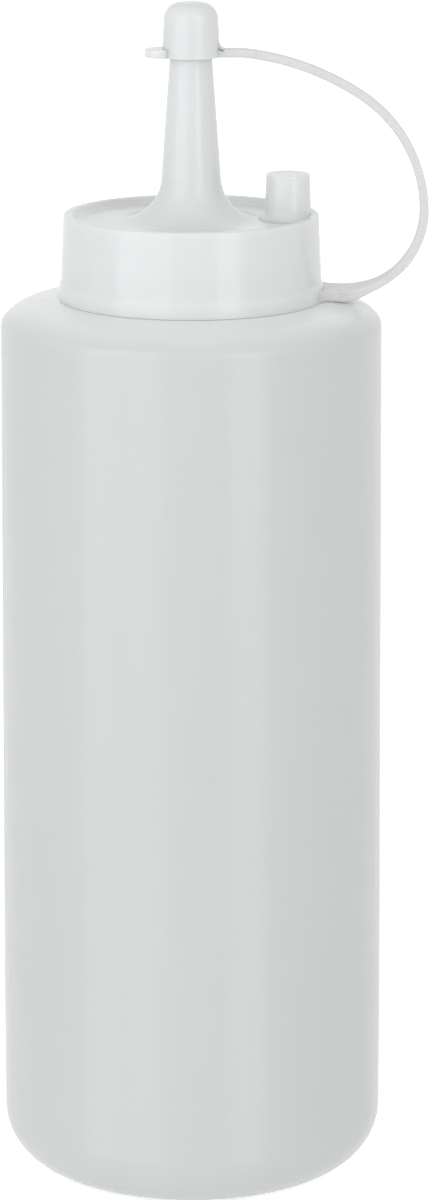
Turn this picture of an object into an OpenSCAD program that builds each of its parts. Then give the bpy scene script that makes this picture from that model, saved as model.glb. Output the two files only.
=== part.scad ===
// Squeeze bottle for sauces: a blow-moulded bottle, a wide screw cap with a drawn-out
// nozzle, and a small tip cap on a moulded strap.
// The origin is the centre of the foot, +Z is up and the strap leans out towards +X.
// Lengths are in millimetres.

/* [Bottle] */
// Radius of the straight lower wall, the part that stands in a holder
bottle_r = 40; // [38:0.1:42]
// Height up to which the wall stays straight
straight_top = 40; // [30:1:120]
// Radius of the wall just under the shoulder
shoulder_r = 39.2; // [38:0.1:40]
// Height of the top of the wall, where the shoulder starts to round over
wall_top = 180.2; // [150:0.1:200]
// Thickness of the blown wall
wall_t = 1.3; // [0.8:0.1:2]
// Radius of the rounded corner between wall and foot
foot_corner_r = 11.5; // [8:0.1:14]
// Outer radius of the hollow pushed up into the foot
push_up_r = 22; // [15:0.5:26]
// Height of the hollow pushed up into the foot
push_up_h = 3.5; // [1:0.1:6]
// Radius of the tight bend with which the wall turns into the shoulder
shoulder_edge_r = 2.7; // [2:0.1:6]
// Radius of the wide round of the shoulder above that bend
shoulder_round_r = 8.6; // [6:0.1:12]
// Fall of the shoulder away from the cap, in degrees
shoulder_slope = 10; // [6:0.5:20]

/* [Neck] */
// Radius of the flat ledge round the neck, which the cap hides
ledge_r = 27.9; // [27:0.1:29]
// Outer radius of the neck between the threads
neck_r = 23; // [22:0.1:23.2]
// Radius of the filling mouth
mouth_r = 21; // [18:0.1:21.5]

/* [Thread] */
// Height that one turn climbs
thread_lead = 5; // [4.8:0.1:5.4]
// Number of quarter-turn lengths in each thread
thread_lengths = 6; // [3:1:6]
// Gap between the two threads on the side that carries the load
thread_gap = 0.4; // [0.3:0.05:0.5]

/* [Sealing washer] */
// Thickness of the washer between the neck's lip and the cap
washer_t = 1.2; // [0.8:0.1:1.5]
// Play of the washer inside the skirt
washer_play = 0.4; // [0.2:0.1:0.6]

/* [Screw cap] */
// Gap between the ledge and the lower edge of the cap
cap_gap = 0.5; // [0.4:0.1:1]
// Height of the cap's skirt with its rim
cap_h = 17; // [16.5:0.1:18]
// Radius of the bead round the lower edge
bead_r = 27.2; // [27:0.1:27.5]
// Height of the bead
bead_h = 2.9; // [2:0.1:4]
// Outer radius of the skirt just above the bead
skirt_low_r = 26.75; // [26.5:0.05:27]
// Outer radius of the skirt at the rim
skirt_top_r = 26.15; // [26:0.05:26.5]
// Inner radius of the skirt between the threads
skirt_bore_r = 24.9; // [24.8:0.05:25]
// Inner radius of the raised rim
rim_bore_r = 24.2; // [23.5:0.1:24.6]
// Depth of the dished top below the rim
dish_depth = 1.2; // [0.6:0.1:2]
// Thickness of the top plate
plate_t = 1.6; // [1.2:0.1:1.8]

/* [Nozzle] */
// Radius of the concave flare between top plate and nozzle
flare_r = 9; // [5:0.1:9]
// Radius of the nozzle where the flare ends
nozzle_low_r = 6.05; // [5.5:0.05:7]
// Radius of the nozzle at the mouth of the tip cap
nozzle_top_r = 4.3; // [4.2:0.01:4.4]
// Wall of the nozzle
nozzle_t = 1.3; // [1:0.1:1.4]
// Length of the nose that the tip cap hides
nose_h = 7.8; // [6:0.1:8.2]
// Radius of the nose at its end
nose_end_r = 2.3; // [2:0.1:2.6]
// Radius of the hole that the sauce leaves by
orifice_r = 1.5; // [1:0.1:1.7]

/* [Parking post] */
// Distance of the post from the nozzle's axis
post_x = 19.8; // [19.8:0.1:20]
// Radius of the post at its foot
post_low_r = 4.7; // [4.4:0.05:4.7]
// Radius of the post at its top
post_top_r = 4.45; // [4.2:0.05:4.5]
// Height of the post above the rim
post_h = 8.2; // [5:0.1:10]

/* [Tip cap] */
// Outer radius of the tip cap at its mouth
tip_r = 5.8; // [5.6:0.05:6]
// Outer radius of the tip cap where its top starts to round over
tip_top_r = 5.4; // [5.3:0.05:5.7]
// Height of the tip cap
tip_h = 11.1; // [10.8:0.1:12]
// Radius of the round at its top edge
tip_round_r = 3.4; // [1.5:0.1:3.6]
// Play between the mouth and the nozzle
tip_play = 0.08; // [0.05:0.01:0.1]
// Reach of the thumb tab from the axis
tab_reach = 9.4; // [8.5:0.1:11]
// Width of the thumb tab
tab_w = 6.5; // [5:0.1:8]

/* [Strap] */
// Thickness of the strap and of the thumb tab
strap_t = 1.75; // [1.3:0.05:1.8]
// Width of the strap where it meets the tip cap
strap_w = 3; // [2.5:0.1:4.5]
// Width that the strap would have at its root without the root's own spread
strap_low_w = 4.4; // [3:0.1:5]
// Width of its root on the cap
root_w = 9; // [6:0.5:12]
// Distance of the root from the axis
root_x = 31; // [30:0.1:32]
// Distance from the axis at which the strap meets the tip cap
strap_end_x = 10; // [9.5:0.1:10.5]
// Radius of the first bend above the root
bend_1_r = 16.7; // [16:0.1:18]
// Radius of the bend round the outer side
bend_2_r = 28.7; // [24:0.1:30]
// Radius of the short bend beside the tip cap
bend_4_r = 12; // [8:0.5:16]

/* [Hidden] */
$fn = 180;

// Centre of the shoulder's wide round, which takes over from the tight bend at this angle
shoulder_edge_a = 40;
shoulder_round_x = shoulder_r - shoulder_edge_r
    - (shoulder_round_r - shoulder_edge_r) * cos(shoulder_edge_a);
shoulder_round_z = wall_top - (shoulder_round_r - shoulder_edge_r) * sin(shoulder_edge_a);
shoulder_drop = (shoulder_round_x + shoulder_round_r * sin(shoulder_slope) - ledge_r)
    * tan(shoulder_slope);

// Heights that follow from the driving dimensions
ledge_z = shoulder_round_z + shoulder_round_r * cos(shoulder_slope) + shoulder_drop;
cap_z = ledge_z + cap_gap;
rim_z = cap_z + cap_h;
dish_z = rim_z - dish_depth;
flare_top = dish_z + flare_r;
plate_bottom = dish_z - plate_t;
neck_top = plate_bottom - washer_t;

// The route of the strap: four bends, and the third is as wide as the two ends ask for
bend_1_a = 92;
bend_2_a = 146.4;
bend_3_a = 173;
bend_3_r = (root_x - strap_end_x + bend_1_r * sin(bend_1_a)
    + bend_2_r * (sin(bend_2_a) - sin(bend_1_a)) - bend_4_r * sin(bend_3_a))
    / (sin(bend_2_a) - sin(bend_3_a));
root_z = cap_z + strap_t / 2;
strap_end_z = root_z + bend_1_r * (1 - cos(bend_1_a))
    + bend_2_r * (cos(bend_1_a) - cos(bend_2_a))
    + bend_3_r * (cos(bend_2_a) - cos(bend_3_a)) + bend_4_r * (cos(bend_3_a) + 1);
tip_z = strap_end_z - strap_t / 2;
nozzle_end = tip_z + nose_h;

// The root flares into the bead along rounds that touch both
root_flare_r = (root_x * root_x + root_w * root_w / 4 - bead_r * bead_r) / (2 * bead_r - root_w);
root_spread = (root_w / 2 + root_flare_r) * bead_r / (bead_r + root_flare_r);

// Sizes that nobody adjusts
body_colour = [0.83, 0.84, 0.83];
cap_colour = [0.88, 0.89, 0.88];
washer_colour = [0.93, 0.93, 0.91];
neck_foot_round = 0.8;
lip_round = 0.5;
edge_round = 0.5;
thread_depth = 1.4;
thread_root_w = 2.5;
thread_crest_w = 1;
thread_embed = 0.4;
thread_break = 6;
thread_top_gap = 0.6;
washer_overhang = 0.5;
flare_a = 176;
orifice_land = 2;
post_sink = 0.5;
tip_land_h = 1;
tip_groove_h = 2;
tip_groove_depth = 0.1;
tip_grip_h = 4.5;
nose_room = 1.2;
nose_end_room = 0.3;
tip_ceiling = 1.3;
ceiling_draft = 0.1;
gusset_r = 1.4;
gusset_sink = 0.3;
root_lug = 5.5;
strap_bevel = 0.3;
root_taper_a = 40;

// How far a cut runs past the solid that it opens, and the roundness of the small pieces
past = 1;
small_fn = 96;

// Height of the middle of the neck thread's first length, and how far below it the cap's lies
thread_z = neck_top - thread_top_gap - thread_root_w / 2 - thread_lead * (thread_lengths - 0.5) / 4;
thread_overlap = neck_r + 2 * thread_depth - skirt_bore_r;
thread_flank_w = (thread_root_w - thread_crest_w) / 2;
thread_drop = thread_crest_w + thread_gap
    + thread_flank_w * thread_overlap / (thread_depth + thread_embed);

// Points of an arc about [cx, cz], with both ends, or without its start where first is 1
function arc(cx, cz, r, a0, a1, n, first = 0) =
    [for (i = [first:n]) let (a = a0 + (a1 - a0) * i / n) [cx + r * cos(a), cz + r * sin(a)]];

// Half of the push-up's section: a shallow dome whose edge is at [r, z]
function dome(r, h, z, n) =
    let (R = (r * r + h * h) / (2 * h), span = asin(r / R))
    [for (i = [0:n]) let (a = span * i / n) [R * sin(a), z + h - R * (1 - cos(a))]];

// Outline of the bottle below the neck, drawn in by the wall's thickness where t is not zero
function bottle_outline(t) = concat(
    dome(push_up_r, push_up_h, t, 12),
    arc(bottle_r - foot_corner_r, foot_corner_r, foot_corner_r - t, -90, 0, 15),
    [[bottle_r - t, straight_top]],
    arc(shoulder_r - shoulder_edge_r, wall_top, shoulder_edge_r - t, 0, shoulder_edge_a, 6),
    arc(shoulder_round_x, shoulder_round_z, shoulder_round_r - t,
        shoulder_edge_a, 90 - shoulder_slope, 6, first = 1),
    [[ledge_r - t * tan(shoulder_slope / 2), ledge_z - t]]
);

// One thread, in quarter-turn lengths with a break at each mould line. Each length is a
// piece of a ring tipped by the helix angle. A crest inside the root makes an inner thread.
module thread(root_r, crest_r, z) {
    tilt = atan(thread_lead / 8 / (root_r * sin(45)));
    base_r = root_r - sign(crest_r - root_r) * thread_embed;
    length_a = 90 - thread_break;
    for (i = [0:thread_lengths - 1])
        rotate([0, 0, 90 * i])
            translate([0, 0, z + thread_lead * i / 4])
                rotate([tilt, 0, 0])
                    rotate([0, 0, -length_a / 2])
                        rotate_extrude(angle = length_a)
                            polygon([
                                [base_r, -thread_root_w / 2],
                                [crest_r, -thread_crest_w / 2],
                                [crest_r, thread_crest_w / 2],
                                [base_r, thread_root_w / 2]
                            ]);
}

// Blown bottle: body, shoulder, neck with its thread
module bottle() {
    outside = concat(
        bottle_outline(0),
        arc(neck_r + neck_foot_round, ledge_z + neck_foot_round, neck_foot_round, -90, -180, 4),
        arc(neck_r - lip_round, neck_top - lip_round, lip_round, 0, 90, 4),
        [[0, neck_top]]
    );
    inside = concat(
        bottle_outline(wall_t),
        [[mouth_r, ledge_z - wall_t], [mouth_r, neck_top + past], [0, neck_top + past]]
    );
    color(body_colour) {
        rotate_extrude() difference() {
            polygon(outside);
            polygon(inside);
        }
        thread(neck_r, neck_r + thread_depth, thread_z);
    }
}

// Flat ring that seals the neck's lip against the cap
module seal_washer() {
    color(washer_colour) translate([0, 0, neck_top]) difference() {
        cylinder(r = skirt_bore_r - washer_play, h = washer_t);
        translate([0, 0, -past]) cylinder(r = mouth_r - washer_overhang, h = washer_t + 2 * past);
    }
}

// Section of the cap's skirt, dished top and nozzle
module cap_section() {
    outer = concat(
        [[0, cap_z], [bead_r - edge_round / 2, cap_z], [bead_r, cap_z + edge_round / 2]],
        arc(bead_r - edge_round, cap_z + bead_h - edge_round, edge_round, 0, 60, 3),
        [[skirt_low_r, cap_z + bead_h]],
        arc(skirt_top_r - edge_round, rim_z - edge_round, edge_round, 0, 90, 5),
        [[rim_bore_r, rim_z], [rim_bore_r, dish_z + edge_round]],
        arc(rim_bore_r - edge_round, dish_z + edge_round, edge_round, 0, -90, 4),
        arc(nozzle_low_r + flare_r, flare_top, flare_r, -90, -flare_a, 14),
        [[nozzle_top_r, tip_z]],
        arc(nose_end_r - edge_round, nozzle_end - edge_round, edge_round, 15, 90, 3),
        [[0, nozzle_end]]
    );
    inner = concat(
        [[0, cap_z - past], [skirt_bore_r, cap_z - past], [skirt_bore_r, plate_bottom]],
        arc(nozzle_low_r + flare_r, flare_top, flare_top - plate_bottom, -90, -flare_a, 10),
        [
            [nozzle_top_r - nozzle_t, tip_z],
            [orifice_r, nozzle_end - orifice_land],
            [orifice_r, nozzle_end + past],
            [0, nozzle_end + past]
        ]
    );
    difference() {
        polygon(outer);
        polygon(inner);
    }
}

// Post on which the tip cap is parked while the bottle is in use
module parking_post() {
    top = rim_z + post_h;
    translate([post_x, 0, 0]) rotate_extrude($fn = small_fn) polygon(concat(
        [[0, dish_z - post_sink], [post_low_r, dish_z - post_sink]],
        arc(post_top_r - edge_round, top - edge_round, edge_round, 0, 90, 4),
        [[0, top]]
    ));
}

// Outline of the lug that carries the strap, seen from above
module root_outline() {
    difference() {
        translate([root_x - root_lug, -root_spread]) square([root_lug, 2 * root_spread]);
        for (side = [-1, 1])
            translate([root_x, side * (root_w / 2 + root_flare_r)]) circle(r = root_flare_r);
    }
}

// Screw cap, nozzle, post and the strap's lug, all one moulding
module screw_cap() {
    color(cap_colour) {
        rotate_extrude() cap_section();
        parking_post();
        thread(skirt_bore_r, skirt_bore_r - thread_depth, thread_z - thread_drop);
        translate([0, 0, cap_z]) linear_extrude(strap_t) root_outline();
    }
}

// Way that a bend of radius r leads from heading a0 to heading a1, in the XZ plane
function bend(r, a0, a1) = r * [sin(a1) - sin(a0), cos(a0) - cos(a1)];

// Centre of the strap at a given heading
function strap_point(a) =
    [root_x, root_z]
    + bend(bend_1_r, 0, min(a, bend_1_a))
    + bend(bend_2_r, bend_1_a, max(bend_1_a, min(a, bend_2_a)))
    + bend(bend_3_r, bend_2_a, max(bend_2_a, min(a, bend_3_a)))
    + bend(bend_4_r, bend_3_a, max(bend_3_a, a));

// Width of the strap at a given heading: it narrows evenly towards the tip cap, and its
// root spreads beside the screw cap
function strap_width(a) =
    let (spread = (1 + cos(180 * min(1, a / root_taper_a))) / 2)
    strap_w + (strap_low_w - strap_w) * (1 - a / 180) + (root_w - strap_low_w) * spread;

// Strap that ties the tip cap to the screw cap
module tether_strap() {
    steps = 60;
    bevel = strap_bevel;
    function ring(i) =
        let (a = 180 * i / steps, p = strap_point(a), w = strap_width(a) / 2, t = strap_t / 2)
        [for (q = [[-w + bevel, -t], [w - bevel, -t], [w, bevel - t], [w, t - bevel],
                [w - bevel, t], [-w + bevel, t], [-w, t - bevel], [-w, bevel - t]])
            [p[0] - q[1] * sin(a), q[0], p[1] + q[1] * cos(a)]];
    sides = [for (i = [0:steps - 1], k = [0:7])
        let (a = 8 * i + k, b = 8 * i + (k + 1) % 8)
        each [[a, b, b + 8], [a, b + 8, a + 8]]];
    first_end = [for (k = [1:6]) [0, k + 1, k]];
    last_end = [for (k = [1:6]) [8 * steps, 8 * steps + k, 8 * steps + k + 1]];
    color(cap_colour)
        polyhedron([for (i = [0:steps]) each ring(i)], concat(sides, first_end, last_end));
}

// Tip cap with its thumb tab and the short lug that the strap runs into
module tip_cap() {
    bore_r = nozzle_top_r + tip_play;
    outer = concat(
        [[0, 0], [tip_r, 0], [tip_r, strap_t]],
        arc(tip_top_r - tip_round_r, tip_h - tip_round_r, tip_round_r, 0, 80, 8),
        [[0, tip_h]]
    );
    inner = [
        [0, -past],
        [bore_r, -past],
        [bore_r, tip_land_h],
        [bore_r + tip_groove_depth, tip_groove_h],
        [bore_r, tip_grip_h],
        [nose_end_r + nose_room, nose_h],
        [nose_end_r + nose_end_room, tip_h - tip_ceiling - ceiling_draft],
        [0, tip_h - tip_ceiling]
    ];
    module gusset_outline() {
        difference() {
            translate([0, -gusset_sink]) square([gusset_r + gusset_sink, gusset_r + gusset_sink]);
            translate([gusset_r + gusset_sink, gusset_r]) circle(r = gusset_r);
        }
    }
    module plate_outline() {
        translate([tab_w / 2 - tab_reach, 0]) circle(d = tab_w, $fn = small_fn);
        translate([tab_w / 2 - tab_reach, -tab_w / 2]) square([tab_reach - tab_w / 2, tab_w]);
        translate([0, -strap_w / 2]) square([strap_end_x, strap_w]);
    }
    color(cap_colour) translate([0, 0, tip_z]) difference() {
        union() {
            rotate_extrude($fn = small_fn) polygon(outer);
            linear_extrude(strap_t) plate_outline();
            translate([tip_r - 2 * gusset_sink, 0, strap_t])
                rotate([90, 0, 0])
                    linear_extrude(strap_w, center = true)
                        gusset_outline();
        }
        rotate_extrude($fn = small_fn) polygon(inner);
    }
}

bottle();
seal_washer();
screw_cap();
tether_strap();
tip_cap();
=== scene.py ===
"""Looks of a squeeze bottle for sauces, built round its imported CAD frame.

The bottle is blown in milky plastic. The screw cap with its drawn-out nozzle and parking post, the
strap and the little hood on the nozzle are moulded in the same plastic, a little whiter and glossier.
Sizes are in millimetres here and become metres when a mesh is made. The origin is the centre of the
foot, +Z is up, and the strap leans out towards +X.
"""

import logging  # noqa: E402
import math  # noqa: E402
from dataclasses import dataclass, field  # noqa: E402
from enum import Enum  # noqa: E402
from typing import Any, Optional, Sequence, Tuple, Union  # noqa: E402

import bpy  # noqa: E402
import numpy as np  # noqa: E402
from numpy.typing import NDArray  # noqa: E402
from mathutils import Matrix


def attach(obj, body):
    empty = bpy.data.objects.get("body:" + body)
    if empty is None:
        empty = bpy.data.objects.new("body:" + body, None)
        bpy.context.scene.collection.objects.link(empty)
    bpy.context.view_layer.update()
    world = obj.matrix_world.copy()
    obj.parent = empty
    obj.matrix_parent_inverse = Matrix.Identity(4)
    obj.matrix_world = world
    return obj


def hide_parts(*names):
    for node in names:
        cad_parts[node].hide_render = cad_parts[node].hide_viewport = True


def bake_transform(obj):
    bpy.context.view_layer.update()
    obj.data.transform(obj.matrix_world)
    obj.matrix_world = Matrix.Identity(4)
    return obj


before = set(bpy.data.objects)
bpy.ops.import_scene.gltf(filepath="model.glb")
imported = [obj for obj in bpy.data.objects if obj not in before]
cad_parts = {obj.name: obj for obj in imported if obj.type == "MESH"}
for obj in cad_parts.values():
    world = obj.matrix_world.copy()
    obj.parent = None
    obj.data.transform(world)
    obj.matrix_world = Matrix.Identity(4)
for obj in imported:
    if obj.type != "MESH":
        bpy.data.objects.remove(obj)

LOG = logging.getLogger("sauce_bottle")
Floats = NDArray[np.float64]
Ints = NDArray[np.int64]
Colour = Tuple[float, float, float]
MM = 0.001
Socket = bpy.types.NodeSocket


# Shells: the meshes of the pieces, worked out as whole arrays


@dataclass
class Shell:
    """A closed mesh in millimetres: its points, its four-sided faces and its triangles."""

    points: Floats
    quads: Ints
    triangles: Ints = field(default_factory=lambda: np.zeros((0, 3), np.int64))

    def joined(self, *others: "Shell") -> "Shell":
        """Puts other shells into the same mesh, each still closed by itself.

        Args:
            others: The shells to add.

        Returns:
            One shell that holds them all.
        """
        points, quads, triangles = [self.points], [self.quads], [self.triangles]
        start = len(self.points)
        for other in others:
            points.append(other.points)
            quads.append(other.quads + start)
            triangles.append(other.triangles + start)
            start += len(other.points)
        return Shell(np.concatenate(points), np.concatenate(quads), np.concatenate(triangles))

    def moved(self, x: float = 0.0, z: float = 0.0) -> "Shell":
        """Shifts the shell.

        Args:
            x: Millimetres towards +X.
            z: Millimetres upwards.

        Returns:
            The shifted copy.
        """
        return Shell(self.points + np.array([x, 0.0, z]), self.quads, self.triangles)

    def to_object(self, name: str, sharp_deg: float = 50.0) -> bpy.types.Object:
        """Makes the Blender object, in metres, smooth but for edges sharper than sharp_deg.

        Args:
            name: Name of the object and of its mesh.
            sharp_deg: Angle in degrees above which an edge stays sharp.

        Returns:
            The object, at the origin, in the scene.
        """
        mesh = bpy.data.meshes.new(name)
        mesh.from_pydata(self.points * MM, [], self.quads.tolist() + self.triangles.tolist())
        mesh.validate()
        mesh.shade_smooth()
        mesh.set_sharp_from_angle(angle=math.radians(sharp_deg))
        mesh.update()
        made = bpy.data.objects.new(name, mesh)
        bpy.context.scene.collection.objects.link(made)
        LOG.info("%s: %d points, %d faces", name, len(mesh.vertices), len(mesh.polygons))
        return made


def rounded_path(
    corners: Sequence[Tuple[float, float, float]],
    closed: bool = False,
    step: float = 6.0,
    arc_step_deg: float = 9.0,
) -> Floats:
    """Carries a line through corners and rounds each one.

    A corner of radius R that turns by an angle T is replaced by the arc that touches both of its
    sides, which starts R tan(T / 2) before the corner. Beside each arc stands one more point, so that
    the flat beside it also shades as flat, and long straight runs are cut into steps.

    Args:
        corners: (r, z, radius) of each corner, in order.
        closed: Whether the line runs back to its first corner.
        step: Longest distance between points on a straight run.
        arc_step_deg: Largest turn between points on an arc.

    Returns:
        The line's points, one row (r, z) each.
    """
    straight, least_cut, beside_arc, same_point = 1e-4, 0.08, 0.25, 1e-4
    given = np.array(corners, float)
    count = len(given)
    runs = []
    for i in range(count):
        here, radius = given[i, :2], given[i, 2]
        inner = closed or 0 < i < count - 1
        if not inner or radius <= 0:
            runs.append(here[None, :])
            continue
        back = given[i - 1, :2] - here
        ahead = given[(i + 1) % count, :2] - here
        back, ahead = back / np.linalg.norm(back), ahead / np.linalg.norm(ahead)
        turn = math.pi - math.acos(float(np.clip(back @ ahead, -1, 1)))
        if turn < straight:
            runs.append(here[None, :])
            continue
        reach = radius * math.tan(turn / 2)
        bisector = (back + ahead) / np.linalg.norm(back + ahead)
        centre = here + bisector * radius / math.cos(turn / 2)
        first, last = here + back * reach, here + ahead * reach
        share = np.linspace(0, 1, max(2, math.ceil(math.degrees(turn) / arc_step_deg)) + 1)[:, None]
        arms = (first - centre) * np.sin((1 - share) * turn) + (last - centre) * np.sin(share * turn)
        runs.append(centre + arms / math.sin(turn))
    line = [runs[0]]
    for i in range(1, count + int(closed)):
        a, b = line[-1][-1], runs[i % count][0]
        length = float(np.linalg.norm(b - a))
        inset = min(beside_arc, length / 4) / max(length, 1e-9)
        cuts = max(1, math.ceil(length / step))
        shares = np.unique(np.concatenate([[inset, 1 - inset], np.linspace(0, 1, cuts + 1)[1:-1]]))
        if length > least_cut:
            line.append(a + (b - a) * shares[:, None])
        if i < count:
            line.append(runs[i])
    path = np.concatenate(line)
    before = path[-1:] if closed else path[:1] + 1
    apart = np.linalg.norm(np.diff(path, axis=0, prepend=before), axis=1)
    return path[apart > same_point]


def turned(path: Floats, sides: int, closed: bool = False) -> Shell:
    """Turns a section about the Z axis: x = r cos(angle), y = r sin(angle), z as drawn.

    The section runs anticlockwise as seen with r to the right and z up, so that faces point outwards.
    Where an open section starts or ends on the axis, a fan of triangles closes it on one point.

    Args:
        path: (r, z) of the section's points.
        sides: Number of steps round the axis.
        closed: Whether the section is a loop clear of the axis.

    Returns:
        The closed shell.
    """
    starts, ends = (not closed and path[k, 0] < 1e-6 for k in (0, -1))
    rings = path[int(starts) : len(path) - int(ends)]
    angle = np.arange(sides) * (2 * math.pi / sides)
    r, z = rings[:, :1], rings[:, 1:]
    grid = np.stack([r * np.cos(angle), r * np.sin(angle), z + 0 * angle], axis=-1).reshape(-1, 3)
    rows = len(rings)
    i, j = np.meshgrid(np.arange(rows if closed else rows - 1), np.arange(sides), indexing="ij")
    after, beside = (i + 1) % rows * sides, (j + 1) % sides
    quads = np.stack([i * sides + j, i * sides + beside, after + beside, after + j], axis=-1)
    around = np.arange(sides)
    onward = (around + 1) % sides
    fans, poles = [], []
    if starts:
        poles.append([0.0, 0.0, path[0, 1]])
        fans.append(np.stack([np.full(sides, len(grid)), onward, around], axis=-1))
    if ends:
        top = (rows - 1) * sides
        poles.append([0.0, 0.0, path[-1, 1]])
        fans.append(np.stack([top + around, top + onward, np.full(sides, len(grid) + len(fans))], axis=-1))
    points = np.concatenate([grid, np.array(poles)]) if poles else grid
    triangles = np.concatenate(fans) if fans else np.zeros((0, 3), np.int64)
    return Shell(points, quads.reshape(-1, 4), triangles)


def lofted(rings: Floats) -> Shell:
    """Joins rings of points into a closed tube, with a fan on the middle point of each end.

    Args:
        rings: Array (rings, points, 3). Seen from beyond the last ring, each runs anticlockwise.

    Returns:
        The closed shell.
    """
    count, around = rings.shape[:2]
    i, j = np.meshgrid(np.arange(count - 1), np.arange(around), indexing="ij")
    k = (j + 1) % around
    quads = np.stack([i * around + j, i * around + k, (i + 1) * around + k, (i + 1) * around + j], axis=-1)
    points = np.concatenate([rings.reshape(-1, 3), rings[[0, -1]].mean(axis=1)])
    first, last = count * around, count * around + 1
    a = np.arange(around)
    b = (a + 1) % around
    top = (count - 1) * around
    near = np.stack([np.full(around, first), b, a], axis=-1)
    far = np.stack([top + a, top + b, np.full(around, last)], axis=-1)
    return Shell(points, quads.reshape(-1, 4), np.concatenate([near, far]))


def rounded_bar(
    half_width: Floats, half_depth: Floats, radius: float, arc_points: int = 5, beside: float = 0.12
) -> Tuple[Floats, Floats]:
    """Works out rounded rectangles, one for each row of the sizes given.

    A point of a corner's arc is (w - R + R cos(a), d - R + R sin(a)), mirrored into each corner. One
    more point stands beside each end of an arc, so that the flats shade as flat.

    Args:
        half_width: Half of the width of each rectangle.
        half_depth: Half of the depth of each rectangle.
        radius: Radius of the corners.
        arc_points: Points on each corner.
        beside: Distance from an arc's end to the point beside it.

    Returns:
        The points across and the points through, each an array (rectangles, points).
    """
    a = np.linspace(0, math.pi / 2, arc_points)
    across = np.concatenate([[radius], radius * np.cos(a), [-beside]])
    through = np.concatenate([[-beside], radius * np.sin(a), [radius]])
    w, d = half_width[:, None] - radius, half_depth[:, None] - radius
    u = np.concatenate([w + across, -w - across[::-1], -w - across, w + across[::-1]], axis=1)
    v = np.concatenate([d + through, d + through[::-1], -d - through, -d - through[::-1]], axis=1)
    return u, v


def eased(share: Floats) -> Floats:
    """Eases a share from 0 to 1, level at both of its ends: 3 s^2 - 2 s^3.

    Args:
        share: The share, held between 0 and 1 here.

    Returns:
        The eased share.
    """
    held = np.clip(share, 0, 1)
    return held * held * (3 - 2 * held)


def thread_length(root_r: float, crest_r: float, z: float, lead: float, middle_deg: float) -> Shell:
    """Makes one quarter-turn length of a thread, whose height dies away at both of its ends.

    Its line is a helix, z = z0 + lead * turn / 360, and its section a blunt ridge from root to crest.

    Args:
        root_r: Radius of the wall it stands on.
        crest_r: Radius of its crest, inside the root for an inner thread.
        z: Height of its middle.
        lead: Height that one turn climbs.
        middle_deg: Where round the axis its middle is.

    Returns:
        The closed shell.
    """
    half_deg, fade_deg, sunk = 42.0, 7.0, 0.02
    angle = np.radians(np.linspace(-half_deg, half_deg, 43))
    swell = eased((half_deg - np.degrees(np.abs(angle))) / fade_deg)[:, None]
    ridge = np.array([[-0.35, -1.25], [0.0, -1.25], [0.55, -0.86], [0.93, -0.6], [1.0, -0.45], [1.0, 0.45]])
    ridge = np.concatenate([ridge, (ridge * [1, -1])[:4][::-1]])
    height = crest_r - root_r
    rise = np.where(ridge[:, 0] > 0, ridge[:, 0] * swell, ridge[:, 0])
    r = root_r + height * rise - sunk * math.copysign(1, height)
    turn = angle[:, None] + math.radians(middle_deg)
    climb = z + lead * angle[:, None] / (2 * math.pi) + ridge[:, 1]
    points = np.stack([r * np.cos(turn), r * np.sin(turn), climb], axis=-1)
    return lofted(points if height < 0 else points[:, ::-1])


def thread(root_r: float, depth: float, z: float, lead: float, lengths: int) -> Sequence[Shell]:
    """Makes a thread as quarter-turn lengths that follow each other round and upwards.

    Args:
        root_r: Radius of the wall it stands on.
        depth: How far it stands out from the wall, and below zero for an inner thread.
        z: Height of the middle of its first length.
        lead: Height that one turn climbs.
        lengths: Number of lengths.

    Returns:
        The lengths.
    """
    return [thread_length(root_r, root_r + depth, z + lead * i / 4, lead, 90.0 * i) for i in range(lengths)]


# Finishes


class Making(Enum):
    """How a piece was made, with the size in metres of the long waves that this leaves in its surface."""

    BLOWN = 0.075
    MOULDED = 0.03
    CUT_SHEET = 0.02


@dataclass(frozen=True)
class Finish:
    """One finish: the plastic's colour and gloss, and how uneven its surface is.

    glow is the share of light that scatters below the surface, down to glow_depth. cloud is how far
    patches shift to deep_colour and seam the height of the mould's line. The last field sets a painted
    glow, an emission that lightens the shoulder and the shade under the cap, as a stand-in for light
    that a milky wall carries. Depths and heights are in metres.
    """

    name: str
    colour: Colour
    deep_colour: Colour
    roughness: float
    glow: float
    glow_depth: float
    making: Making = Making.MOULDED
    wave_depth: float = 0.00003
    grain_depth: float = 0.000002
    cloud: float = 0.5
    seam: float = 0.0
    shine: float = 0.35
    painted_glow: float = 0.0


BLOWN_PLASTIC = Finish(
    name="milky_blown_plastic",
    making=Making.BLOWN,
    colour=(0.63, 0.65, 0.641),
    deep_colour=(0.619, 0.639, 0.632),
    roughness=0.22,
    glow=0.35,
    glow_depth=0.004,
    wave_depth=0.0002,
    grain_depth=0.000005,
    seam=0.00006,
    shine=0.52,
    # strength of the painted glow that lightens the shoulder and the shade under the cap
    painted_glow=0.2,
)
CAP_PLASTIC = Finish(
    name="white_moulded_plastic",
    colour=(0.744, 0.763, 0.757),
    deep_colour=(0.733, 0.752, 0.746),
    roughness=0.16,
    glow=0.4,
    glow_depth=0.003,
    shine=0.45,
)
STRAP_PLASTIC = Finish(
    name="white_strap_plastic",
    colour=(0.695, 0.698, 0.696),
    deep_colour=(0.681, 0.684, 0.682),
    roughness=0.27,
    glow=0.25,
    glow_depth=0.002,
)
WASHER_RUBBER = Finish(
    name="washer_rubber",
    making=Making.CUT_SHEET,
    colour=(0.82, 0.82, 0.79),
    deep_colour=(0.78, 0.78, 0.75),
    roughness=0.6,
    glow=0.1,
    glow_depth=0.001,
    wave_depth=0.00002,
    grain_depth=0.000008,
)


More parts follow.
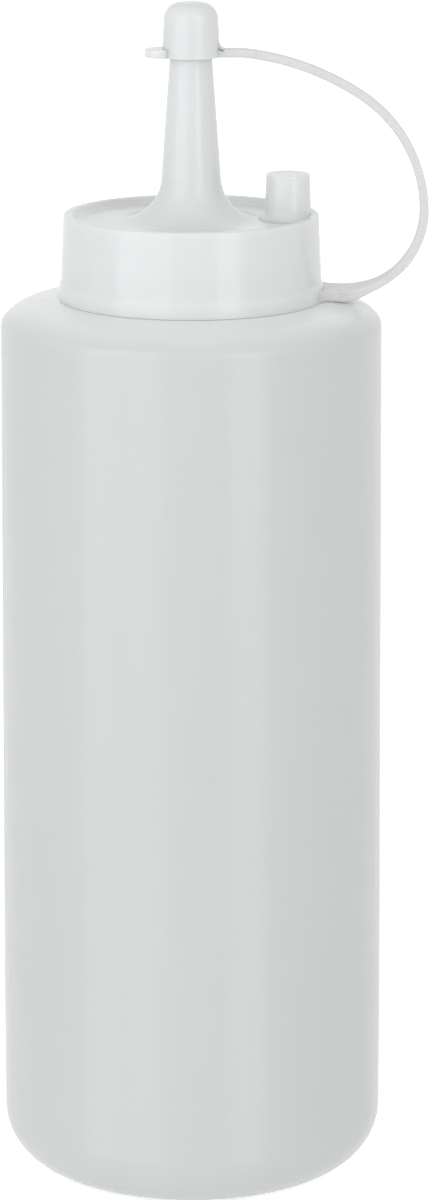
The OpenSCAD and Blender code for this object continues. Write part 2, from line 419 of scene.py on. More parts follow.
@dataclass
class Sheet:
    """A node tree being filled in."""

    tree: bpy.types.NodeTree

    def node(self, kind: str, values: Optional[dict] = None, **settings: Any) -> bpy.types.Node:
        """Adds a node.

        Args:
            kind: The node's type.
            values: Input names or numbers, each with a plain value or the socket that feeds it.
            settings: The node's own settings.

        Returns:
            The node.
        """
        made = self.tree.nodes.new(kind)
        for name, value in settings.items():
            setattr(made, name, value)
        for name, value in (values or {}).items():
            if isinstance(value, Socket):
                self.tree.links.new(value, made.inputs[name])
            else:
                made.inputs[name].default_value = value
        return made

    def math(self, operation: str, *values: Any) -> Socket:
        """Adds a Math node.

        Args:
            operation: What it works out.
            values: Its inputs in order, each a number or the socket that feeds it.

        Returns:
            Its result.
        """
        return self.node("ShaderNodeMath", dict(enumerate(values)), operation=operation).outputs[0]

    def ramp(self, value: Any, low: float, high: float) -> Socket:
        """Adds a node that gives 0 where value is at low and 1 where it is at high, smooth between them.

        Args:
            value: The socket that is read.
            low: Where the result is 0.
            high: Where the result is 1.

        Returns:
            Its result.
        """
        values = {"Value": value, "From Min": low, "From Max": high}
        return self.node("ShaderNodeMapRange", values, interpolation_type="SMOOTHSTEP").outputs["Result"]

    def bump(self, height: Any, distance: Any, normal: Any = None) -> Socket:
        """Adds a Bump node.

        Args:
            height: The socket with the bump's height, from 0 to 1.
            distance: What a height of 1 stands for, in metres.
            normal: The normal that it starts from, if another bump came before.

        Returns:
            The bent normal.
        """
        values = {"Strength": 1.0, "Distance": distance, "Height": height}
        if normal is not None:
            values["Normal"] = normal
        return self.node("ShaderNodeBump", values).outputs[0]

    def noise(self, place: Any, scale: Any, detail: float, roughness: float) -> Socket:
        """Adds a Noise Texture node.

        Args:
            place: Coordinates that it is laid out on.
            scale: Its scale.
            detail: How many finer layers it has.
            roughness: How strong these are.

        Returns:
            Its value, about 0.5 on average.
        """
        values = {"Vector": place, "Scale": scale, "Detail": detail, "Roughness": roughness}
        return self.node("ShaderNodeTexNoise", values).outputs[0]

    def seen(self) -> Socket:
        """Adds the nodes that tell a ray that shows something from one that only gathers light.

        Returns:
            1 for camera, glossy and transmission rays, or else 0.
        """
        ray = self.node("ShaderNodeLightPath").outputs
        direct = self.math("MAXIMUM", ray["Is Camera Ray"], ray["Is Glossy Ray"])
        return self.math("MAXIMUM", direct, ray["Is Transmission Ray"])


SEAM_HALF_WIDTHS = (0.00008, 0.00032)
# heights in metres over which the painted glow on the shoulder grows to full strength
PAINTED_GLOW_HEIGHTS = (0.1805, 0.1856)


def surface_group() -> bpy.types.NodeTree:
    """Builds the group that every plastic here shares.

    Clouding shifts the colour between two tints in soft patches, gloss drifts a little and has faint
    rubbed streaks round the piece, and the normal follows long waves, a fine grain and the mould's seam,
    a low ridge where the piece meets the plane y = 0. The glow output is painted light: an emission that
    grows with height from the shoulder's edge to the ledge and lightens the shoulder and the shade under
    the cap, as a stand-in for light that a milky wall carries. All of it is laid out on Object coordinates.

    Returns:
        The node group.
    """
    tree = bpy.data.node_groups.new("moulded_surface", "ShaderNodeTree")
    for name, kind in (
        ("Tint", "NodeSocketColor"),
        ("Deep Tint", "NodeSocketColor"),
        ("Cloud", "NodeSocketFloat"),
        ("Roughness", "NodeSocketFloat"),
        ("Wave Size", "NodeSocketFloat"),
        ("Wave Depth", "NodeSocketFloat"),
        ("Grain Depth", "NodeSocketFloat"),
        ("Seam Height", "NodeSocketFloat"),
        ("Painted Glow", "NodeSocketFloat"),
    ):
        tree.interface.new_socket(name, in_out="INPUT", socket_type=kind)
    for name, kind in (
        ("Colour", "NodeSocketColor"),
        ("Gloss", "NodeSocketFloat"),
        ("Normal", "NodeSocketVector"),
        ("Painted Glow Light", "NodeSocketFloat"),
    ):
        tree.interface.new_socket(name, in_out="OUTPUT", socket_type=kind)
    sheet = Sheet(tree)
    given = sheet.node("NodeGroupInput").outputs
    place = sheet.node("ShaderNodeTexCoord").outputs["Object"]
    tall = sheet.node("ShaderNodeMapping", {"Vector": place, "Scale": (1.0, 1.0, 0.35)}).outputs[0]
    flat = sheet.node("ShaderNodeMapping", {"Vector": place, "Scale": (1.0, 1.0, 14.0)}).outputs[0]

    clouds = sheet.noise(tall, 42.0, 3.0, 0.55)
    patch = sheet.math("MULTIPLY", sheet.ramp(clouds, 0.32, 0.7), given["Cloud"])
    tint = sheet.node("ShaderNodeMix", {"Factor": patch}, data_type="RGBA")
    tree.links.new(given["Tint"], tint.inputs[6])
    tree.links.new(given["Deep Tint"], tint.inputs[7])

    streaks = sheet.noise(flat, 60.0, 4.0, 0.6)
    rub = sheet.math("MULTIPLY", sheet.ramp(streaks, 0.5, 0.8), 0.03)
    drift = sheet.math("MULTIPLY", sheet.math("SUBTRACT", clouds, 0.5), 0.05)
    gloss = sheet.math("ADD", sheet.math("ADD", given["Roughness"], rub), drift)

    wave = sheet.noise(tall, sheet.math("DIVIDE", 1.0, given["Wave Size"]), 1.0, 0.4)
    grain = sheet.noise(place, 1400.0, 2.0, 0.5)
    apart = sheet.node("ShaderNodeSeparateXYZ", {"Vector": place}).outputs
    ridge = sheet.math("SUBTRACT", 1.0, sheet.ramp(sheet.math("ABSOLUTE", apart["Y"]), *SEAM_HALF_WIDTHS))
    normal = sheet.bump(wave, given["Wave Depth"])
    normal = sheet.bump(grain, given["Grain Depth"], normal)
    normal = sheet.bump(ridge, given["Seam Height"], normal)
    # painted glow: emission that grows up the shoulder, lightening it and the shade in the gap under the cap
    painted_glow = sheet.math("MULTIPLY", sheet.ramp(apart["Z"], *PAINTED_GLOW_HEIGHTS), given["Painted Glow"])
    given_back = {"Colour": tint.outputs[2], "Gloss": gloss, "Normal": normal, "Painted Glow Light": painted_glow}
    sheet.node("NodeGroupOutput", given_back)
    return tree


@dataclass
class Dresser:
    """Makes the material of a finish once, and gives it to pieces."""

    group: bpy.types.NodeTree = field(default_factory=surface_group)
    made: dict = field(default_factory=dict)

    def material(self, finish: Finish) -> bpy.types.Material:
        """Builds the material of a finish: a milky plastic that light sinks into.

        Args:
            finish: The finish.

        Returns:
            Its material.
        """
        if finish.name in self.made:
            return self.made[finish.name]
        material = bpy.data.materials.new(finish.name)
        material.use_nodes = True
        material.node_tree.nodes.clear()
        sheet = Sheet(material.node_tree)
        surface = sheet.node("ShaderNodeGroup", node_tree=self.group)
        for name, value in (
            ("Tint", (*finish.colour, 1.0)),
            ("Deep Tint", (*finish.deep_colour, 1.0)),
            ("Cloud", finish.cloud),
            ("Roughness", finish.roughness),
            ("Wave Size", finish.making.value),
            ("Wave Depth", finish.wave_depth),
            ("Grain Depth", finish.grain_depth),
            ("Seam Height", finish.seam),
            ("Painted Glow", finish.painted_glow),
        ):
            surface.inputs[name].default_value = value
        plastic = sheet.node(
            "ShaderNodeBsdfPrincipled",
            {
                "Base Color": surface.outputs["Colour"],
                "Roughness": surface.outputs["Gloss"],
                "Normal": surface.outputs["Normal"],
                "IOR": 1.5,
                "Specular IOR Level": finish.shine,
                "Subsurface Weight": finish.glow,
                "Subsurface Radius": (1.0, 0.95, 0.9),
                "Subsurface Scale": finish.glow_depth,
                "Emission Color": surface.outputs["Colour"],
                # painted glow: emission that lights the shoulder and the shade under the cap and the strap
                "Emission Strength": surface.outputs["Painted Glow Light"],
            },
        )
        sheet.node("ShaderNodeOutputMaterial", {"Surface": plastic.outputs[0]})
        material.diffuse_color = (*finish.colour, 1.0)
        self.made[finish.name] = material
        return material

    def dress(self, piece: bpy.types.Object, finish: Finish) -> None:
        """Gives a piece, or a CAD node, the material of a finish in place of what it has.

        Args:
            piece: The object to dress.
            finish: The finish to give it.
        """
        piece.data.materials.clear()
        piece.data.materials.append(self.material(finish))
        LOG.info("%s wears %s", piece.name, finish.name)


# The pieces


@dataclass
class Bottle:
    """Blown bottle: hollowed foot, straight wall, sloping shoulder and threaded neck."""

    bottle_r: float = 40.0
    straight_top: float = 40.0
    shoulder_r: float = 39.2
    wall_top: float = 180.2
    wall_t: float = 1.3
    foot_corner_r: float = 11.5
    push_up_r: float = 22.0
    push_up_h: float = 3.5
    shoulder_edge_r: float = 2.7
    shoulder_edge_deg: float = 40.0
    shoulder_round_r: float = 8.6
    shoulder_slope: float = 10.0
    ledge_r: float = 27.9
    neck_r: float = 23.0
    mouth_r: float = 21.0
    thread_depth: float = 1.4
    thread_lead: float = 5.0
    thread_lengths: int = 6
    pinch_h: float = 0.5
    pinch_half_w: float = 0.9
    pinch_r: float = 18.5
    pinch_fade: float = 4.0
    sides: int = 240

    @property
    def dome_r(self) -> float:
        """Radius of the ball whose cap, push_up_h high and 2 push_up_r wide, hollows the foot."""
        return (self.push_up_r**2 + self.push_up_h**2) / (2 * self.push_up_h)

    @property
    def round_centre(self) -> Tuple[float, float]:
        """Centre (r, z) of the shoulder's wide round, which takes over from the tight bend at its edge."""
        meet = math.radians(self.shoulder_edge_deg)
        apart = self.shoulder_round_r - self.shoulder_edge_r
        r = self.shoulder_r - self.shoulder_edge_r - apart * math.cos(meet)
        return r, self.wall_top - apart * math.sin(meet)

    @property
    def ledge_z(self) -> float:
        """Height of the flat ledge that the cap hides."""
        slope = math.radians(self.shoulder_slope)
        r, z = self.round_centre
        drop = (r + self.shoulder_round_r * math.sin(slope) - self.ledge_r) * math.tan(slope)
        return z + self.shoulder_round_r * math.cos(slope) + drop

    def shoulder(self, t: float) -> list:
        """Lists the shoulder's two corners, drawn in by t.

        Two rounds follow each other. A round of radius R that turns by T has its corner R tan(T / 2)
        along the tangent from where it starts.

        Args:
            t: Distance inwards from the outside.

        Returns:
            (r, z, radius) of both.
        """
        meet = math.radians(self.shoulder_edge_deg)
        sweep = (math.pi / 2 - math.radians(self.shoulder_slope) - meet) / 2
        edge_r, round_r = self.shoulder_edge_r - t, self.shoulder_round_r - t
        x, z = self.round_centre
        x += round_r * (math.cos(meet) - math.tan(sweep) * math.sin(meet))
        z += round_r * (math.sin(meet) + math.tan(sweep) * math.cos(meet))
        return [(self.shoulder_r - t, self.wall_top + edge_r * math.tan(meet / 2), edge_r), (x, z, round_r)]

    def outline(self, t: float) -> list:
        """Lists the corners from the middle of the foot to the ledge, drawn in by t.

        Args:
            t: Distance inwards from the outside.

        Returns:
            (r, z, radius) of each.
        """
        big = self.dome_r
        a = np.linspace(0, math.asin(self.push_up_r / big), 14)
        hollow = [(big * math.sin(x), t + self.push_up_h - big * (1 - math.cos(x)), 0.0) for x in a[:-1]]
        mitre = t * math.tan(math.radians(self.shoulder_slope) / 2)
        return [
            *hollow,
            (self.push_up_r, t, 2.2),
            (self.bottle_r - t, t, self.foot_corner_r - t),
            (self.bottle_r - t, self.straight_top, 0.0),
            *self.shoulder(t),
            (self.ledge_r - mitre, self.ledge_z - t, 0.6),
        ]

    def build(self, neck_top: float, thread_z: float) -> bpy.types.Object:
        """Builds the bottle with the thread on its neck and the pinched seam across its foot.

        Args:
            neck_top: Height of the neck's lip.
            thread_z: Height of the middle of the thread's first length.

        Returns:
            The piece.
        """
        outside = self.outline(0.0)
        neck = [
            (self.neck_r, self.ledge_z, 0.8),
            (self.neck_r, neck_top, 0.5),
            (self.mouth_r, neck_top, 0.35),
            (self.mouth_r, self.ledge_z - self.wall_t, 0.0),
        ]
        inside = self.outline(self.wall_t)[::-1]
        shell = self.with_pinched_seam(turned(rounded_path([*outside, *neck, *inside]), self.sides))
        ridges = thread(self.neck_r, self.thread_depth, thread_z, self.thread_lead, self.thread_lengths)
        return shell.joined(*ridges).to_object("blown_bottle")

    def with_pinched_seam(self, shell: Shell) -> Shell:
        """Draws out the ridge that a mould pinches across the foot.

        Outside the foot's hollow, points near the line y = 0 move down by
        pinch_h exp(-(y / pinch_half_w)^2), which fades out at the radius pinch_r.

        Args:
            shell: The bottle, whose points are moved.

        Returns:
            The same shell.
        """
        x, y, z = shell.points.T
        r = np.hypot(x, y)
        dome_z = self.push_up_h - self.dome_r + np.sqrt(np.maximum(self.dome_r**2 - r**2, 0))
        outside = (r < self.pinch_r) & (z < dome_z + self.wall_t / 3)
        fade = eased((self.pinch_r - r) / self.pinch_fade)
        drop = self.pinch_h * np.exp(-((y / self.pinch_half_w) ** 2)) * fade
        shell.points[:, 2] = np.where(outside, z - drop, z)
        return shell


@dataclass
class ScrewCap:
    """Screw cap with its beaded skirt, dished top, flared nozzle, parking post and inner thread."""

    cap_gap: float = 0.5
    cap_h: float = 17.0
    bead_r: float = 27.2
    bead_h: float = 2.9
    skirt_low_r: float = 26.75
    skirt_top_r: float = 26.15
    skirt_bore_r: float = 24.9
    rim_bore_r: float = 24.2
    dish_depth: float = 1.2
    plate_t: float = 1.6
    washer_t: float = 1.2
    flare_r: float = 9.0
    flare_deg: float = 86.0
    nozzle_low_r: float = 6.05
    nozzle_top_r: float = 4.3
    nozzle_t: float = 1.3
    nose_h: float = 7.8
    nose_end_r: float = 2.3
    orifice_r: float = 1.5
    post_x: float = 19.8
    post_low_r: float = 4.7
    post_top_r: float = 4.45
    post_h: float = 8.2
    post_fillet: float = 1.5
    thread_depth: float = 1.4
    seat_drop: float = 0.46
    sides: int = 240

    def heights(self, ledge_z: float) -> dict:
        """Works out the heights that follow from the ledge which the cap stands over.

        Args:
            ledge_z: Height of the bottle's ledge.

        Returns:
            Heights of the cap's lower edge, its rim, its dish, the plate's underside and the neck's lip.
        """
        cap_z = ledge_z + self.cap_gap
        rim_z = cap_z + self.cap_h
        dish_z = rim_z - self.dish_depth
        plate = dish_z - self.plate_t
        return {"cap": cap_z, "rim": rim_z, "dish": dish_z, "plate": plate, "neck_top": plate - self.washer_t}

    def flare(self, top: float, radius: float) -> list:
        """Lists points of the concave flare, a circle about (nozzle_low_r + flare_r, top).

        Args:
            top: Height of the circle's centre.
            radius: Its radius.

        Returns:
            (r, z, 0) of each, from the flare's foot upwards.
        """
        a = np.radians(np.linspace(-90, -90 - self.flare_deg, 22))
        middle = self.nozzle_low_r + self.flare_r
        return [(middle + radius * math.cos(x), top + radius * math.sin(x), 0.0) for x in a]

    def build(
        self, ledge_z: float, tip_z: float, thread_z: float, lead: float, lengths: int
    ) -> bpy.types.Object:
        """Builds the cap as one mesh.

        Args:
            ledge_z: Height of the bottle's ledge.
            tip_z: Height of the mouth of the hood on the nozzle.
            thread_z: Height of the middle of the inner thread's first length.
            lead: Height that one turn of the thread climbs.
            lengths: Number of its quarter-turn lengths.

        Returns:
            The piece.
        """
        at = self.heights(ledge_z)
        top = at["dish"] + self.flare_r
        end = tip_z + self.nose_h
        low = at["cap"] - self.seat_drop
        section = [
            (self.skirt_bore_r, low, 0.2),
            (self.bead_r, low, 0.15),
            (self.bead_r, at["cap"] + self.bead_h - 0.6, 1.6),
            (self.skirt_low_r, at["cap"] + self.bead_h + 0.5, 1.6),
            (self.skirt_top_r, at["rim"], 0.6),
            (self.rim_bore_r + 0.3, at["rim"], 0.5),
            (self.rim_bore_r - 1.0, at["dish"], 2.0),
            *self.flare(top, self.flare_r),
            (self.nozzle_top_r, tip_z, 0.0),
            (self.nose_end_r, end, 0.45),
            (self.orifice_r, end, 0.2),
            (self.orifice_r, end - 2, 0.0),
            (self.nozzle_top_r - self.nozzle_t, tip_z, 0.0),
            *self.flare(top, top - at["plate"])[::-1],
            (self.skirt_bore_r, at["plate"], 0.5),
        ]
        shell = turned(rounded_path(section, closed=True), self.sides, closed=True)
        inner = thread(self.skirt_bore_r, -self.thread_depth, thread_z, lead, lengths)
        return shell.joined(self.post(at), *inner).to_object("cap_moulding")

    def post(self, at: dict) -> Shell:
        """Makes the parking post, with a flare at its foot and a softly dished end.

        Args:
            at: The cap's heights.

        Returns:
            The closed shell.
        """
        dish, top, wide = at["dish"], at["rim"] + self.post_h, self.post_low_r + self.post_fillet
        section = [
            (0.0, dish - 0.5, 0.0),
            (wide, dish - 0.5, 0.0),
            (wide, dish - 0.02, 0.0),
            (self.post_low_r + 0.05, dish + 1.15, 2.0),
            (self.post_top_r, top, 0.4),
            (0.0, top - 0.12, 0.0),
        ]
        return turned(rounded_path(section, step=2.0), 96).moved(x=self.post_x)


@dataclass
class TetherStrap:
    """Moulded strap from the cap's lower edge, out and round, to the hood on the nozzle."""

    strap_t: float = 1.75
    strap_w: float = 3.0
    strap_low_w: float = 4.4
    root_w: float = 9.0
    root_x: float = 31.0
    root_flare_r: float = 5.3174
    strap_end_x: float = 10.0
    bend_1_r: float = 16.7
    bend_2_r: float = 28.7
    bend_4_r: float = 12.0
    bend_1_deg: float = 92.0
    bend_2_deg: float = 146.4
    bend_3_deg: float = 173.0
    root_taper_deg: float = 40.0
    edge_r: float = 0.42
    root_drop: float = 0.44
    root_slope: float = 0.12
    slope_start_x: float = 27.9
    underside_fade: float = 4.0
    start_x: float = 25.95
    seam_deg: float = 170.9
    overlap_deg: float = 0.35
    hinge_end_x: float = 5.05
    hinge_spare: float = 0.004

    @property
    def bend_3_r(self) -> float:
        """Radius of the third bend, as wide as the two ends ask for."""
        s1, s2, s3 = (math.sin(math.radians(a)) for a in (self.bend_1_deg, self.bend_2_deg, self.bend_3_deg))
        bends = self.bend_1_r * s1 + self.bend_2_r * (s2 - s1) - self.bend_4_r * s3
        return (self.root_x - self.strap_end_x + bends) / (s2 - s3)

    def width(self, turn: Floats) -> Floats:
        """Works out the width, which shrinks evenly towards the hood and spreads at the root.

        Args:
            turn: How far the strap has turned from the root, in degrees.

        Returns:
            The strap's width there.
        """
        spread = (1 + np.cos(math.pi * np.minimum(1, turn / self.root_taper_deg))) / 2
        plain = self.strap_w + (self.strap_low_w - self.strap_w) * (1 - turn / 180)
        return plain + (self.root_w - self.strap_low_w) * spread

    def centre(self, root_z: float, turn: Floats) -> Tuple[Floats, Floats]:
        """Follows the strap's centre.

        Each bend adds R (sin b - sin a) to x and R (cos a - cos b) to z between its turns a and b.

        Args:
            root_z: Height of the strap's centre at its root.
            turn: How far the strap has turned from the root, in degrees.

        Returns:
            x and z of the centre.
        """
        x, z = np.full_like(turn, self.root_x), np.full_like(turn, root_z)
        limits = (0.0, self.bend_1_deg, self.bend_2_deg, self.bend_3_deg, 180.0)
        for a, b, r in zip(limits, limits[1:], (self.bend_1_r, self.bend_2_r, self.bend_3_r, self.bend_4_r)):
            low, high = math.radians(a), np.radians(np.clip(turn, a, b))
            x = x + r * (np.sin(high) - math.sin(low))
            z = z + r * (math.cos(low) - np.cos(high))
        return x, z

    def end_z(self, root_z: float) -> float:
        """Gives the height of the strap's centre where it meets the hood.

        Args:
            root_z: Height of the strap's centre at its root.

        Returns:
            That height.
        """
        return float(self.centre(root_z, np.array([180.0]))[1][0])

    def band(
        self,
        x: Floats,
        z: Floats,
        turn: Floats,
        width: Floats,
        spare: float = 0.0,
        deeper: Union[float, Floats] = 0.0,
    ) -> Shell:
        """Carries a rounded bar along the strap's line.

        A point at u across and v through stands at centre + u Y + v (-sin(turn), 0, cos(turn)).

        Args:
            x: x of the line.
            z: z of the line.
            turn: The line's heading in degrees, from +X towards +Z.
            width: Width of the strap at each point of the line.
            spare: What the bar is thinner by, all round.
            deeper: What it reaches further down by, at each point or all along.

        Returns:
            The closed shell.
        """
        deeper = np.broadcast_to(deeper, width.shape)
        u, v = rounded_bar(width / 2 - spare, (self.strap_t + deeper) / 2 - spare, self.edge_r)
        v = v - deeper[:, None] / 2
        a = np.radians(turn)[:, None]
        rings = np.stack([x[:, None] - v * np.sin(a), u, z[:, None] + v * np.cos(a)], axis=-1)
        return lofted(rings[:, ::-1])

    def build(self, root_z: float) -> Tuple[bpy.types.Object, bpy.types.Object]:
        """Builds the band, and the last short length by the hood as a mesh of its own.

        Args:
            root_z: Height of the strap's centre at its root.

        Returns:
            The band and the last length.
        """
        turn = np.linspace(0, self.seam_deg + self.overlap_deg, 200)
        x, z = self.centre(root_z, turn)
        lead_in = np.linspace(self.start_x, self.root_x, 14)[:-1]
        flat = np.zeros_like(lead_in)
        hollow = self.root_flare_r - np.sqrt(self.root_flare_r**2 - (lead_in - self.root_x) ** 2)
        under = self.root_drop + self.root_slope * np.maximum(lead_in - self.slope_start_x, 0)
        under_end = self.root_drop + self.root_slope * (self.root_x - self.slope_start_x)
        fade = np.cos(np.radians(np.minimum(turn * self.underside_fade, 90))) ** 2
        band = self.band(
            np.concatenate([lead_in, x]),
            np.concatenate([flat + root_z, z]),
            np.concatenate([flat, turn]),
            np.concatenate([self.root_w + 2 * hollow, self.width(turn)]),
            deeper=np.concatenate([under, under_end * fade]),
        ).to_object("strap_band")
        turn = np.linspace(self.seam_deg, 180, 20)
        x, z = self.centre(root_z, turn)
        lead_out = np.linspace(self.strap_end_x, self.hinge_end_x, 24)[1:]
        flat = np.zeros_like(lead_out)
        hinge = self.band(
            np.concatenate([x, lead_out]),
            np.concatenate([z, flat + z[-1]]),
            np.concatenate([turn, flat + 180]),
            np.concatenate([self.width(turn), flat + self.strap_w]),
            spare=self.hinge_spare,
        ).to_object("strap_bend")
        return band, hinge


@dataclass
class Hood:
    """Little cap on the nozzle, with a thumb tab on one side and the strap on the other."""

    bore_r: float = 4.38
    tip_r: float = 5.8
    tip_top_r: float = 5.4
    tip_h: float = 11.1
    tip_round_r: float = 3.4
    tab_reach: float = 9.4
    tab_w: float = 6.5
    strap_t: float = 1.75
    strap_w: float = 3.0
    gusset_r: float = 1.4
    nose_h: float = 7.8
    inside_wall_r: float = 5.1
    gusset_x: float = 4.9

    def build(self, tip_z: float) -> bpy.types.Object:
        """Builds the hood as one mesh, with its mouth at the height tip_z.

        Args:
            tip_z: Height of its mouth.

        Returns:
            The piece.
        """
        section = [
            (0.0, self.tip_h - 1.3, 0.0),
            (2.6, self.tip_h - 1.4, 0.3),
            (3.5, self.nose_h, 0.6),
            (self.bore_r, 4.5, 0.4),
            (self.bore_r + 0.1, 2.0, 0.4),
            (self.bore_r, 1.0, 0.2),
            (self.bore_r, 0.0, 0.12),
            (self.tip_r, 0.0, 0.25),
            (self.tip_r, self.strap_t, 0.0),
            (self.tip_top_r, self.tip_h, self.tip_round_r),
            (0.0, self.tip_h - 0.001, 0.0),
        ]
        shell = turned(rounded_path(section, step=1.5, arc_step_deg=7.0), 144)
        return shell.joined(self.tab(), self.gusset()).moved(z=tip_z).to_object("tip_hood")

    def tab(self) -> Shell:
        """Makes the thumb tab: a flat tongue with a round end and softened edges.

        Its outline is an arc inside the hood's wall, two straight sides and a half circle. Rings of it
        are drawn in by e (1 - cos a) while they climb by e sin a, over each edge.

        Returns:
            The closed shell, with the hood's mouth at z = 0.
        """
        half = self.tab_w / 2
        end = np.radians(np.linspace(90, 270, 41))
        far = np.stack([half - self.tab_reach + half * np.cos(end), half * np.sin(end)], axis=-1)
        y = np.linspace(-half, half, 15)
        near = np.stack([-np.sqrt(self.inside_wall_r**2 - y**2), y], axis=-1)
        outline = np.concatenate([far, near])
        middle = np.array([-6.6, 0.0])
        ease = 0.35
        a = np.radians(np.linspace(-90, 90, 15))
        inset = ease * (1 - np.cos(a))
        level = np.where(a < 0, ease + ease * np.sin(a), self.strap_t - ease + ease * np.sin(a))
        inward = (middle - outline) / np.linalg.norm(middle - outline, axis=1, keepdims=True)
        rings = outline[None] + inward[None] * inset[:, None, None]
        tall = np.repeat(level[:, None, None], len(outline), axis=1)
        return lofted(np.concatenate([rings, tall], axis=-1))

    def gusset(self) -> Shell:
        """Makes the concave fillet on top of the strap, where it runs into the hood's wall.

        Its curve is a quarter of a circle of radius gusset_r that touches the strap and the wall.

        Returns:
            The closed shell, with the hood's mouth at z = 0.
        """
        a = np.radians(np.linspace(180, 270, 14))
        reach, foot, half = self.gusset_r, self.strap_t - 0.4, self.strap_w / 2
        cx, cz = self.tip_r - 0.06 + reach, self.strap_t + reach - 0.02
        curve = np.stack([cx + reach * np.cos(a), cz + reach * np.sin(a)], axis=-1)
        loop = np.concatenate([curve, [[cx - 0.1, foot], [self.gusset_x, foot], [self.gusset_x, cz]]])
        inward, sunk = np.array([0.5, 0.25, 0.06, 0.0]), [0, 0.05, 0.2, 0.4]
        y = np.concatenate([inward[::-1] - half, [0], half - inward])
        sink = np.interp(np.abs(y), half - inward, sunk)[:, None]
        rings = np.stack(
            [
                np.maximum(loop[None, :, 0] - sink, self.gusset_x),
                np.repeat(y[:, None], len(loop), axis=1),
                np.maximum(loop[None, :, 1] - sink, foot),
            ],
            axis=-1,
        )
        return lofted(rings)


# The studio


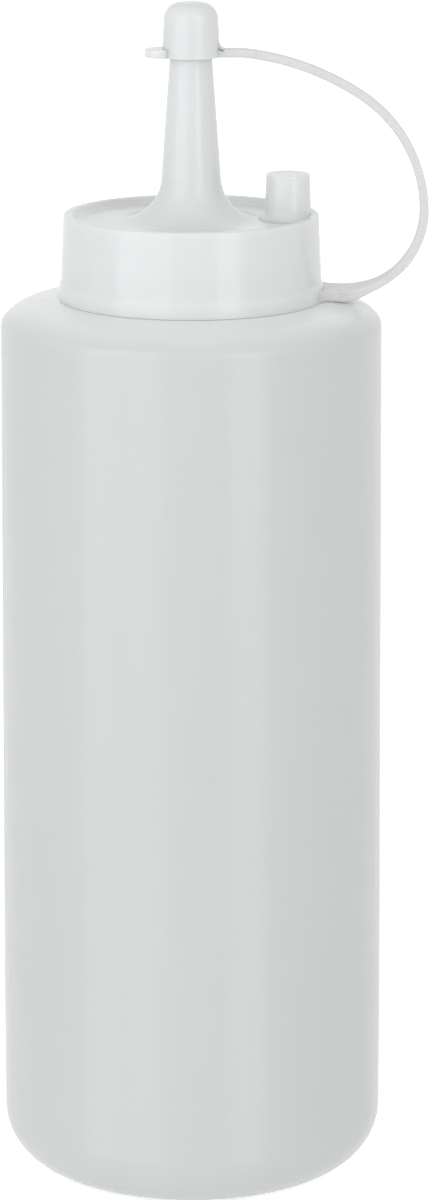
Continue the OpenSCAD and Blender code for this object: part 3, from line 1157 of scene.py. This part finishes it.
@dataclass
class Studio:
    """Plain white studio: floor, three tall soft lamps, pale surroundings and the camera."""

    floor_reach: float = 9.0
    lamp_away: float = 1.3
    lamp_height: float = 1.8
    lamp_middle: float = 0.3
    cool: Colour = (0.93, 1.0, 1.05)
    left_glow: float = 1.25
    near_left_glow: float = 0.95
    right_glow: float = 1.6
    around: float = 0.55
    front_overhead: float = 0.42
    duller_right: float = 0.05
    floor_glow: float = 0.22
    floor_seen_glow: float = 0.4
    floor_white: float = 0.8
    camera_place: Tuple[float, float, float] = (0.00487, -0.9, 0.3433)
    camera_tilt: float = 0.2414
    sensor_mm: float = 36.0
    focal_share: float = 4430.0 / 1200.0

    def floor(self) -> bpy.types.Object:
        """Makes the floor, a disc of rings whose radii grow outwards.

        It shows white, and keeps the object's shadow, because part of its white is its own and part is
        what falls on it. Reflections pass it by, so that the lamps' bands run down to the foot.

        Returns:
            The floor.
        """
        r = np.concatenate([[0.0], np.geomspace(0.05, self.floor_reach, 24)]) / MM
        floor = turned(np.stack([r, np.zeros_like(r)], axis=-1)[::-1], 96).to_object("floor")
        material = bpy.data.materials.new("white_floor")
        material.use_nodes = True
        material.node_tree.nodes.clear()
        sheet = Sheet(material.node_tree)
        glow = sheet.math("ADD", self.floor_glow, sheet.math("MULTIPLY", sheet.seen(), self.floor_seen_glow))
        own = sheet.node("ShaderNodeEmission", {"Strength": glow})
        matt = sheet.node("ShaderNodeBsdfDiffuse", {"Color": (*[self.floor_white] * 3, 1.0)})
        both = sheet.node("ShaderNodeAddShader", {0: own.outputs[0], 1: matt.outputs[0]})
        sheet.node("ShaderNodeOutputMaterial", {"Surface": both.outputs[0]})
        floor.data.materials.append(material)
        floor.visible_glossy = False
        return floor

    def surroundings(self) -> None:
        """Makes the world: white where it is seen, and duller for the light that it gives.

        That light is brighter from overhead in front, and a little duller towards the right.
        """
        world = bpy.data.worlds.new("white_room")
        bpy.context.scene.world = world
        world.use_nodes = True
        world.node_tree.nodes.clear()
        sheet = Sheet(world.node_tree)
        place = sheet.node("ShaderNodeTexCoord").outputs["Generated"]
        way = sheet.node("ShaderNodeSeparateXYZ", {"Vector": place}).outputs
        front = sheet.math("MULTIPLY", sheet.ramp(way["Z"], 0.0, 0.9), sheet.ramp(way["Y"], 0.6, -0.6))
        level = sheet.math("ADD", self.around, sheet.math("MULTIPLY", front, self.front_overhead))
        level = sheet.math("SUBTRACT", level, sheet.math("MULTIPLY", way["X"], self.duller_right))
        strength = sheet.math("MAXIMUM", level, sheet.seen())
        light = sheet.node("ShaderNodeBackground", {"Color": (1.0, 1.0, 1.0, 1.0), "Strength": strength})
        sheet.node("ShaderNodeOutputWorld", {"Surface": light.outputs[0]})

    def lamp(
        self, name: str, azimuth: float, width: float, glow: float, colour: Colour = (1.0, 1.0, 1.0)
    ) -> None:
        """Stands a tall soft lamp in front of the bottle.

        A lamp whose face shines with brightness L gives the power L pi times its area.

        Args:
            name: The lamp's name.
            azimuth: Angle from the camera's side, in degrees, positive to the right.
            width: Width of its face.
            glow: Brightness of its face, where white paper is 1.
            colour: Colour of its light.
        """
        away, height, middle = self.lamp_away, self.lamp_height, self.lamp_middle
        data = bpy.data.lights.new(name, "AREA")
        data.shape, data.size, data.size_y = "RECTANGLE", width, height
        data.energy = glow * math.pi * width * height
        data.color = colour
        lamp = bpy.data.objects.new(name, data)
        bpy.context.scene.collection.objects.link(lamp)
        a = math.radians(azimuth)
        lamp.location = (away * math.sin(a), -away * math.cos(a), middle)
        lamp.rotation_euler = (math.radians(90), 0.0, a)

    def camera(self) -> None:
        """Sets the camera at the photograph's place: 0.9 m off, looking down by 13.8 degrees."""
        data = bpy.data.cameras.new("camera")
        data.sensor_width, data.lens = self.sensor_mm, self.sensor_mm * self.focal_share
        camera = bpy.data.objects.new("camera", data)
        bpy.context.scene.collection.objects.link(camera)
        camera.location = self.camera_place
        camera.rotation_euler = (math.pi / 2 - self.camera_tilt, 0.0, 0.0)
        bpy.context.scene.camera = camera

    def build(self) -> None:
        """Builds the whole studio."""
        self.floor()
        self.surroundings()
        self.lamp("left_softbox", -56.0, 0.5, self.left_glow, self.cool)
        self.lamp("near_left_softbox", -30.5, 0.6, self.near_left_glow)
        self.lamp("right_softbox", 34.0, 0.5, self.right_glow)
        self.camera()
        bpy.context.scene.view_settings.view_transform = "Standard"


THREAD_END_GAP = 0.6
THREAD_HALF_W = 1.25
INNER_THREAD_DROP = 1.775


def main() -> None:
    """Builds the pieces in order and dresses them."""
    logging.basicConfig(level=logging.INFO, format="%(name)s: %(message)s")
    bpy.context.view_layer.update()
    bottle, cap, strap, hood = Bottle(), ScrewCap(), TetherStrap(), Hood()
    dresser = Dresser()

    ledge_z = bottle.ledge_z
    at = cap.heights(ledge_z)
    root_z = at["cap"] + strap.strap_t / 2
    tip_z = strap.end_z(root_z) - strap.strap_t / 2
    climb = bottle.thread_lead * (bottle.thread_lengths - 0.5) / 4
    thread_z = at["neck_top"] - THREAD_END_GAP - THREAD_HALF_W - climb
    LOG.info("ledge %.3f, cap %.3f, mouth of the hood %.3f mm", ledge_z, at["cap"], tip_z)

    body = bottle.build(at["neck_top"], thread_z)
    dresser.dress(body, BLOWN_PLASTIC)
    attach(body, "bottle")
    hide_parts("bottle")

    inner_z = thread_z - INNER_THREAD_DROP
    top = cap.build(ledge_z, tip_z, inner_z, bottle.thread_lead, bottle.thread_lengths)
    dresser.dress(top, CAP_PLASTIC)
    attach(top, "screw_cap")
    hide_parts("screw_cap")

    band, bend = strap.build(root_z)
    dresser.dress(band, STRAP_PLASTIC)
    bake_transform(band)
    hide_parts("tether_strap")
    dresser.dress(bend, STRAP_PLASTIC)
    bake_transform(bend)

    tip = hood.build(tip_z)
    dresser.dress(tip, CAP_PLASTIC)
    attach(tip, "tip_cap")
    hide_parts("tip_cap")

    dresser.dress(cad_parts["seal_washer"], WASHER_RUBBER)

    Studio().build()


if __name__ == "__main__":
    main()
